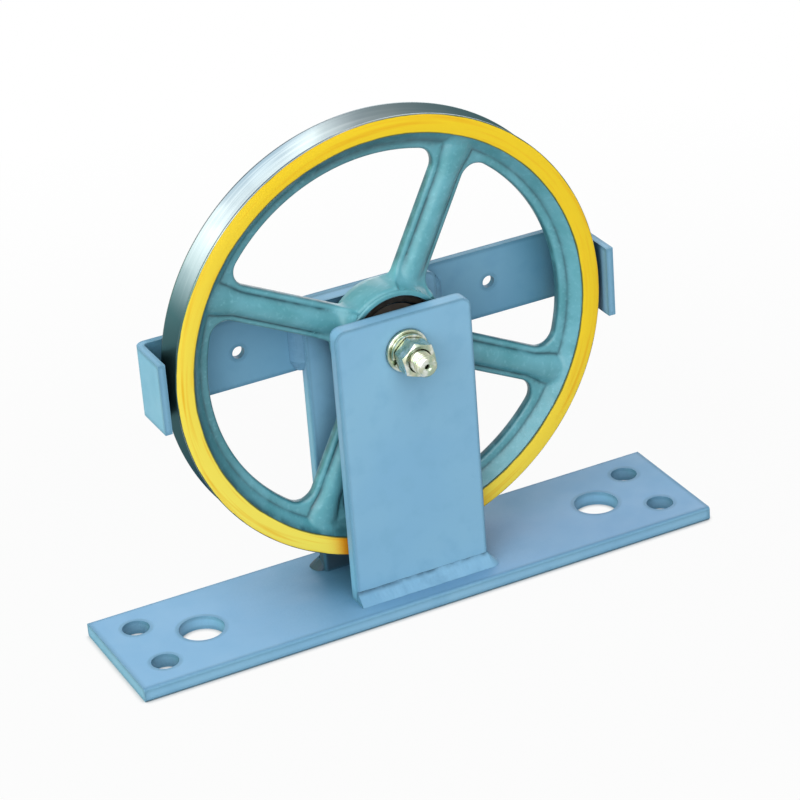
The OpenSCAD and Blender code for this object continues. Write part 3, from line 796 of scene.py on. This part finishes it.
# Welds
def weld(name, replaced, stations, finish, bulge, ripple_h, lump_h, wander, seed):
    """Bead along stations of (corner, first leg, second leg), with an uneven, rippled face.
    wander is the share by which its toes stray."""
    across = 9
    ripple_step = 2.6
    verts = []
    travelled = 0
    for i, (corner, first, second) in enumerate(stations):
        if i:
            travelled += (corner - stations[i - 1][0]).length + (second - stations[i - 1][2]).length
        swell = 0.97 + wander * noise.noise(Vector((travelled / 9, seed, 0)))
        outward = (first.normalized() + second.normalized()).normalized()
        sunk = -0.4 * (first.normalized() + second.normalized())
        verts.append(corner + sunk)
        for j in range(across + 1):
            share = j / across
            body = math.sin(math.pi * share)
            ripple = ripple_h * math.sin(2 * math.pi * (travelled / ripple_step + 0.35 * body))
            lump = lump_h * noise.noise(Vector((travelled / 5, 2 * share, seed)))
            toe = 1 + wander * noise.noise(Vector((travelled / 6, 3 * share, seed + 5)))
            face = (first * (1 - share) + second * share) * swell * toe
            verts.append(corner + face + outward * body * (bulge + ripple + lump) + sunk * 0.2)
    columns = across + 2
    faces = ring_faces(len(stations), columns, closed_rows=False)
    faces.append(tuple(range(columns)))
    last = (len(stations) - 1) * columns
    faces.append(tuple(range(last + columns - 1, last - 1, -1)))
    return add_piece(name, "frame", replaced, verts, faces, [finish],
                     sharp=70, mark=toe_line)


def toe_line(points):
    """Share of the dark line along the upper toe of the foot welds."""
    height = points[:, 2] - base_top
    return smooth_step(0.65 * foot_leg, 0.97 * foot_leg, height) * (height < foot_leg)


def foot_weld_stations(side):
    """Along the foot of an upright and around one edge. side is -1 in front, 1 at the rear."""
    end_x = -side * bar_half_w
    wall_y = side * upright_y
    up = Vector((0, 0, foot_leg))
    stations = []
    count = 110
    for i in range(count + 1):
        x = -end_x + 2 * end_x * i / count
        stations.append((Vector((x, wall_y, base_top)), up, Vector((0, side * foot_leg, 0))))
    for i in range(1, 11):
        turn = math.pi / 2 * i / 10
        shrink = 1 - 0.2 * i / 10
        out = Vector((-side * math.sin(turn), side * math.cos(turn), 0)) * foot_leg * shrink
        stations.append((Vector((end_x, wall_y, base_top)), up * shrink, out))
    for i in range(1, 13):
        share = i / 12.2
        shrink = 0.8 * math.sqrt(1 - share ** 2)
        corner = Vector((end_x, wall_y - side * 6 * share, base_top))
        stations.append((corner, up * shrink, Vector((-side * foot_leg * shrink, 0, 0))))
    return stations


def guard_weld_stations(side):
    """Up the corner between the rear upright's edge and the guard strip."""
    leg = bead_leg - 0.4
    count = 60
    stations = []
    for i in range(count + 1):
        share = i / count
        size = leg * (0.55 + 0.45 * min(1, 6 * min(share, 1 - share)))
        corner = Vector((side * bar_half_w, upright_y, bead_low.z + (bead_high.z - bead_low.z) * share))
        stations.append((corner, Vector((side * size, 0, 0)), Vector((0, -size, 0))))
    return stations


for side, seed, word, finish in ((-1, 1, "front", weld_enamel), (1, 2, "rear", foot_shaded_weld)):
    weld(word + "_foot_weld_bead", word + "_foot_weld", foot_weld_stations(side), finish,
         bulge=0.15, ripple_h=0.03, lump_h=0.1, wander=0.03, seed=seed)
for side, seed, word in ((-1, 3, "left"), (1, 4, "right")):
    weld("guard_weld_bead_" + word, "rope_guard_welds", guard_weld_stations(side), weld_enamel,
         bulge=1, ripple_h=0.08, lump_h=0.3, wander=0.04, seed=seed)


# Axle, washers and nuts
def thread_height(phase):
    """Share of the thread depth below the crest at a phase of one pitch."""
    phase = phase % 1
    crest, root = 0.06, 0.12
    from_crest = min(phase, 1 - phase)
    return min(max((from_crest - crest) / (0.5 - crest - root), 0), 1)


def axle_piece():
    """Axle with a smooth seat in the middle, a cut thread at each end and centre holes."""
    columns = 72
    end_y = axle_end_y
    chamfer = 1.2
    run_out = 0.2
    length = {-1: front_thread_l, 1: rear_thread_l}
    start = {-1: -end_y, 1: end_y - rear_thread_l}
    spacing = thread_pitch / 9
    stub = [(0.01, -centre_depth), (centre_r, -centre_depth), (centre_r, -1), (centre_r + 1, 0),
            (thread_r - chamfer, 0)]
    rows = [(r, -end_y - inward) for r, inward in stub]

    def thread_rows(side):
        count = round(length[side] / spacing)
        return [(None, start[side] + length[side] * i / count) for i in range(1, count)]

    rows += thread_rows(-1)
    seat = [(thread_r, -seat_half), (seat_r - 0.5, -seat_half), (seat_r, 0.5 - seat_half)]
    rows += [(thread_r, -end_y + front_thread_l + run_out)] + seat
    rows += [(r, -y) for r, y in seat[::-1]] + [(thread_r, end_y - rear_thread_l - run_out)]
    rows += thread_rows(1)
    rows += [(r, end_y + inward) for r, inward in stub[::-1]]
    verts = []
    for r, y in rows:
        for j in range(columns):
            turn = 2 * math.pi * j / columns
            radius = r
            if r is None:
                cut = thread_height(y / thread_pitch + j / columns) * thread_depth
                radius = min(thread_r - cut, thread_r - chamfer + end_y - abs(y))
            verts.append(on_axle(radius, y, turn))
    faces = ring_faces(len(rows), columns, closed_rows=False)
    faces.append(tuple(range(columns)))
    faces.append(tuple(range(len(verts) - columns, len(verts))))
    return add_piece("axle_threaded", "frame", "axle",
                     verts, faces, [zinc], sharp=50)


def soft_edges(piece, width):
    """Breaks the sharp edges of a piece with a small rounding."""
    bevel = piece.modifiers.new("broken_edges", "BEVEL")
    bevel.width = width * MM
    bevel.segments = 2
    bevel.limit_method = "ANGLE"
    bevel.angle_limit = math.radians(28)
    bevel.harden_normals = True
    return piece


def hexagon_nut(word):
    """Nut with chamfered corners and a countersunk bore."""
    low, high = box_mm(word + "_nut")
    columns = 120
    face_r = nut_half_af * 0.95
    bore_r = thread_r + 0.05
    mouth_r = thread_r + 0.7
    rows = []
    for face_y, inward in ((low.y, 1), (high.y, -1)):
        level = [(bore_r, face_y + 0.7 * inward), (mouth_r, face_y), (face_r, face_y), (None, face_y)]
        rows += [(r, y, inward) for r, y in level[::inward]]
    verts = []
    for r, y, inward in rows:
        for j in range(columns):
            turn = 2 * math.pi * j / columns
            off = (turn + math.pi / 6) % (math.pi / 3) - math.pi / 6
            radius, height = r, y
            if r is None:
                radius = nut_half_af / math.cos(off)
                height = y + inward * (radius - face_r) * math.tan(math.pi / 6)
            verts.append(on_axle(radius, height, turn + math.radians(12)))
    faces = ring_faces(len(rows), columns)
    piece = add_piece(word + "_hexagon_nut", "frame", word + "_nut",
                      verts, faces, [zinc], sharp=28)
    return soft_edges(piece, 0.2)


def washer_piece(word):
    """Flat washer with rounded edges."""
    low, high = box_mm(word + "_washer")
    outer_r = high.x
    profile = rounded([(washer_hole_r, low.y, 0.3), (outer_r, low.y, 0.6), (outer_r, high.y, 0.6),
                       (washer_hole_r, high.y, 0.3)])
    verts, faces = turned(profile, 96)
    return add_piece(word + "_flat_washer", "frame", word + "_washer",
                     verts, faces, [zinc])


def spring_washer_piece(word, split_turn):
    """Split ring whose two ends stand spring_lift above and below its middle."""
    low, high = box_mm(word + "_spring_washer")
    middle_y = (low.y + high.y) / 2
    half = (high.y - low.y) / 2 - spring_lift
    inner_r, outer_r = thread_r + 0.2, high.x
    corners = [(inner_r, -half), (outer_r, -half), (outer_r, half), (inner_r, half)]
    section = rounded([(r, y, 0.3) for r, y in corners], 2)
    gap = math.radians(9)
    slant = math.tan(math.radians(25))
    count = 80
    verts = []
    for i in range(count + 1):
        share = i / count
        turn = split_turn + gap + (2 * math.pi - 2 * gap) * share
        lift = spring_lift * (2 * share - 1)
        for r, y in section:
            verts.append(on_axle(r, middle_y + y + lift, turn + slant * y / r))
    columns = len(section)
    faces = ring_faces(count + 1, columns, closed_rows=False)
    faces.append(tuple(range(columns)))
    faces.append(tuple(range(count * columns, (count + 1) * columns)))
    return add_piece(word + "_split_washer", "frame", word + "_spring_washer",
                     verts, faces, [zinc])


axle_piece()
for word in ("front", "rear"):
    hexagon_nut(word)
    washer_piece(word)
    spring_washer_piece(word, math.radians(200))


# CAD nodes that stay get their finish, and the plates a broken edge
finishes = {
    base_enamel: ["base_plate"],
    guard_enamel: ["rope_guard"],
    blue_enamel: ["front_upright"],
    foot_shaded_enamel: ["rear_upright"],
    turned_steel: ["front_spacer", "rear_spacer"],
    bearing_steel: ["bearing_outer_ring", "bearing_inner_ring", "front_balls", "rear_balls"],
    polyamide: ["front_cage", "rear_cage"],
    nitrile: ["front_seal", "rear_seal"],
    phosphate: ["front_retaining_ring", "rear_retaining_ring"],
}
for finish, names in finishes.items():
    for name in names:
        for slot in nodes[name].material_slots:
            slot.material = finish
for name in ("base_plate", "rope_guard", "front_upright", "rear_upright"):
    soft_edges(nodes[name], 0.25)


# Floor, light and camera
def white_for_eye(tree):
    """Factor that is 1 for rays that show the background: seen, mirrored or through glass."""
    path = add_node(tree, "LightPath")
    both = add_node(tree, "Math", {"operation": "MAXIMUM"},
                    {0: path.outputs["Is Camera Ray"], 1: path.outputs["Is Glossy Ray"]})
    return add_node(tree, "Math", {"operation": "MAXIMUM"},
                    {0: both.outputs[0], 1: path.outputs["Is Transmission Ray"]}).outputs[0]


def white_room(ambient):
    """Soft light from all around, which the eye sees as plain white."""
    world = bpy.data.worlds.new("white_room")
    scene.world = world
    world.use_nodes = True
    tree = world.node_tree
    tree.nodes.clear()
    soft = add_node(tree, "Background", {"Color": (0.93, 0.97, 1, 1), "Strength": ambient})
    white = add_node(tree, "Background", {"Color": (1, 1, 1, 1), "Strength": 1})
    mix = add_node(tree, "MixShader", links={1: soft.outputs[0], 2: white.outputs[0]})
    tree.links.new(white_for_eye(tree), mix.inputs[0])
    add_node(tree, "OutputWorld", links={"Surface": mix.outputs[0]})


def pale_floor(shadow_share):
    """White floor that keeps a faint share of the object's shadow, and contact shade under it.
    Away from the object it goes to plain white."""
    material = bpy.data.materials.new("pale_studio_floor")
    material.use_nodes = True
    tree = material.node_tree
    tree.nodes.clear()
    touching = crevice(tree, 5, 0.35, 0.8)
    matt = add_node(tree, "BsdfDiffuse", links={0: mixed(tree, touching, "#8A9BA2", "#AAAAAA")})
    glow = add_node(tree, "Emission", {"Color": (1, 1, 1, 1), "Strength": 1})
    point = add_node(tree, "TexCoord").outputs["Object"]
    away = add_node(tree, "VectorMath", {"operation": "LENGTH"}, {0: point}).outputs["Value"]
    whiteness = ranged(tree, away, 0.25, 0.7, 1 - shadow_share, 1)
    share = add_node(tree, "Math", {"operation": "MULTIPLY"}, {0: whiteness, 1: white_for_eye(tree)})
    share = add_node(tree, "Math", {"operation": "MULTIPLY"}, {0: share.outputs[0], 1: touching})
    mix = add_node(tree, "MixShader", links={0: share.outputs[0], 1: matt.outputs[0], 2: glow.outputs[0]})
    add_node(tree, "OutputMaterial", links={"Surface": mix.outputs[0]})
    half = 3
    corners = [(-half, -half, 0), (half, -half, 0), (half, half, 0), (-half, half, 0)]
    mesh = bpy.data.meshes.new("studio_floor")
    mesh.from_pydata(corners, [], [(0, 1, 2, 3)])
    mesh.materials.append(material)
    floor = bpy.data.objects.new("studio_floor", mesh)
    scene.collection.objects.link(floor)


def soft_box(name, place, aim, size, power, colour):
    """Round soft lamp at a place, turned to aim."""
    lamp = bpy.data.lights.new(name, "AREA")
    lamp.shape = "DISK"
    lamp.size = size
    lamp.energy = power
    lamp.color = colour
    holder = bpy.data.objects.new(name, lamp)
    holder.location = place
    holder.rotation_euler = (Vector(aim) - Vector(place)).to_track_quat("-Z", "Y").to_euler()
    scene.collection.objects.link(holder)


def photo_camera():
    """Camera that was fitted to the corners and holes of the base and the outline of the sheave."""
    camera = bpy.data.cameras.new("photo_camera")
    camera.sensor_width = 36
    camera.lens = 143.49
    holder = bpy.data.objects.new("photo_camera", camera)
    azimuth, elevation, roll = (math.radians(a) for a in (-24.8865, 27.2749, -4.4909))
    place = Matrix.Translation((-0.6350, -1.3804, 0.8928))
    turn = Matrix.Rotation(azimuth, 4, "Z") @ Matrix.Rotation(math.pi / 2 - elevation, 4, "X")
    holder.matrix_world = place @ turn @ Matrix.Rotation(roll, 4, "Z")
    scene.collection.objects.link(holder)
    scene.camera = holder


# A wide soft lamp in front on the left does most of the work. The others only lift the shade.
white_room(0.2)
pale_floor(0.05)
soft_box("key_soft_box", (-0.95, -1.35, 1.5), (0, 0, 0.1), 3.4, 82, (1, 1, 0.98))
soft_box("top_soft_box", (0, 0.1, 1.5), (0, 0, 0.1), 1, 1.5, (0.92, 0.89, 1))
soft_box("rear_soft_box", (1.1, 1.5, 0.4), (0, 0, 0.1), 2, 15, (0.98, 0.98, 1))
soft_box("left_soft_box", (-1.3, 0.5, 0.5), (0, 0, 0.1), 0.8, 6, (0.45, 1, 0.62))
photo_camera()
scene.view_settings.view_transform = "Standard"
